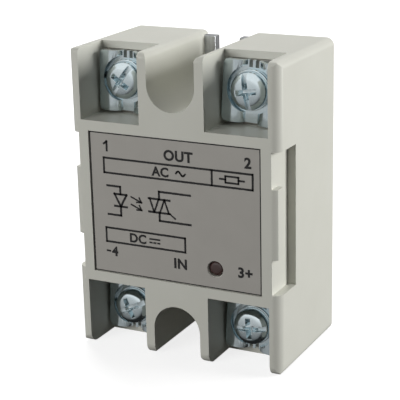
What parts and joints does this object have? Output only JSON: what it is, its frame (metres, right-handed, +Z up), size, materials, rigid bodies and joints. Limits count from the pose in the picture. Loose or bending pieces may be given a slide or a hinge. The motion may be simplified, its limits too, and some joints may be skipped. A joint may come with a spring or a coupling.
{
  "type": "solid state relay",
  "caption": "Panel-mount solid state relay: moulded block case with corner screw terminals, mounting notches, label, indicator and aluminium base plate.",
  "frame": {"origin": "centre of the base plate's mounting face", "axes": "+Z up along the row of mounting notches, +Y out of the mounting face, -Y out of the labelled front, +X to the right seen from the front"},
  "size_m": [0.043, 0.026, 0.0592],
  "materials": {
    "case_plastic": "moulded, satin",
    "plate_aluminium": "rolled, sawn edges",
    "label_film": "silver-grey printed film",
    "led_lens": "clear red epoxy, unlit",
    "tinned_wire": "tinned",
    "board_laminate": "green solder mask",
    "moulded_black": "moulding compound",
    "ceramic": "sintered alumina",
    "resin": "cast epoxy",
    "capacitor_case": "dipped film capacitor",
    "resistor_blue": "lacquered",
    "resistor_tan": "lacquered",
    "zinc_plate": "bright zinc plated",
    "strip_brass": "tin plated brass"
  },
  "bodies": {
    "housing": {"housing": "case_plastic", "base_plate": "plate_aluminium", "label": "label_film", "led": "led_lens", "led_leads": "tinned_wire", "circuit_board": "board_laminate", "triac": "moulded_black", "triac_leads": "tinned_wire", "ceramic_pad": "ceramic", "potting": "resin", "optocoupler": "moulded_black", "snubber_capacitor": "capacitor_case", "snubber_resistor": "resistor_blue", "gate_resistors": "resistor_tan", "input_resistor": "resistor_tan", "input_diode": "moulded_black", "regulator_transistor": "moulded_black", "terminal_strip_1": "strip_brass", "terminal_strip_2": "strip_brass", "terminal_strip_3": "strip_brass", "terminal_strip_4": "strip_brass", "terminal_nut_1": "zinc_plate", "terminal_nut_2": "zinc_plate", "terminal_nut_3": "zinc_plate", "terminal_nut_4": "zinc_plate"},
    "clamp_1": {"clamp_plate_1": "zinc_plate", "lock_washer_1": "zinc_plate"},
    "screw_1": {"terminal_screw_1": "zinc_plate"},
    "clamp_2": {"clamp_plate_2": "zinc_plate", "lock_washer_2": "zinc_plate"},
    "screw_2": {"terminal_screw_2": "zinc_plate"},
    "clamp_3": {"clamp_plate_3": "zinc_plate", "lock_washer_3": "zinc_plate"},
    "screw_3": {"terminal_screw_3": "zinc_plate"},
    "clamp_4": {"clamp_plate_4": "zinc_plate", "lock_washer_4": "zinc_plate"},
    "screw_4": {"terminal_screw_4": "zinc_plate"}
  },
  "joints": [
    {"name": "clamp_slide_1", "type": "slide", "parent": "housing", "child": "clamp_1", "axis": [0, -1, 0], "range_m": [0, 0.0035]},
    {"name": "screw_turn_1", "type": "hinge", "parent": "clamp_1", "child": "screw_1", "pos_m": [-0.01298, -0.0194, 0.0228], "axis": [0, -1, 0], "range_deg": [0, 1800]},
    {"name": "clamp_slide_2", "type": "slide", "parent": "housing", "child": "clamp_2", "axis": [0, -1, 0], "range_m": [0, 0.0035]},
    {"name": "screw_turn_2", "type": "hinge", "parent": "clamp_2", "child": "screw_2", "pos_m": [0.01298, -0.0194, 0.0228], "axis": [0, -1, 0], "range_deg": [0, 1800]},
    {"name": "clamp_slide_3", "type": "slide", "parent": "housing", "child": "clamp_3", "axis": [0, -1, 0], "range_m": [0, 0.0035]},
    {"name": "screw_turn_3", "type": "hinge", "parent": "clamp_3", "child": "screw_3", "pos_m": [0.01298, -0.0194, -0.0228], "axis": [0, -1, 0], "range_deg": [0, 1800]},
    {"name": "clamp_slide_4", "type": "slide", "parent": "housing", "child": "clamp_4", "axis": [0, -1, 0], "range_m": [0, 0.0035]},
    {"name": "screw_turn_4", "type": "hinge", "parent": "clamp_4", "child": "screw_4", "pos_m": [-0.01298, -0.0194, -0.0228], "axis": [0, -1, 0], "range_deg": [0, 1800]}
  ],
  "couplings": [
    {"joint": "screw_turn_1", "follows": "clamp_slide_1", "rad_per_m": 8976},
    {"joint": "screw_turn_2", "follows": "clamp_slide_2", "rad_per_m": 8976},
    {"joint": "screw_turn_3", "follows": "clamp_slide_3", "rad_per_m": 8976},
    {"joint": "screw_turn_4", "follows": "clamp_slide_4", "rad_per_m": 8976}
  ]
}
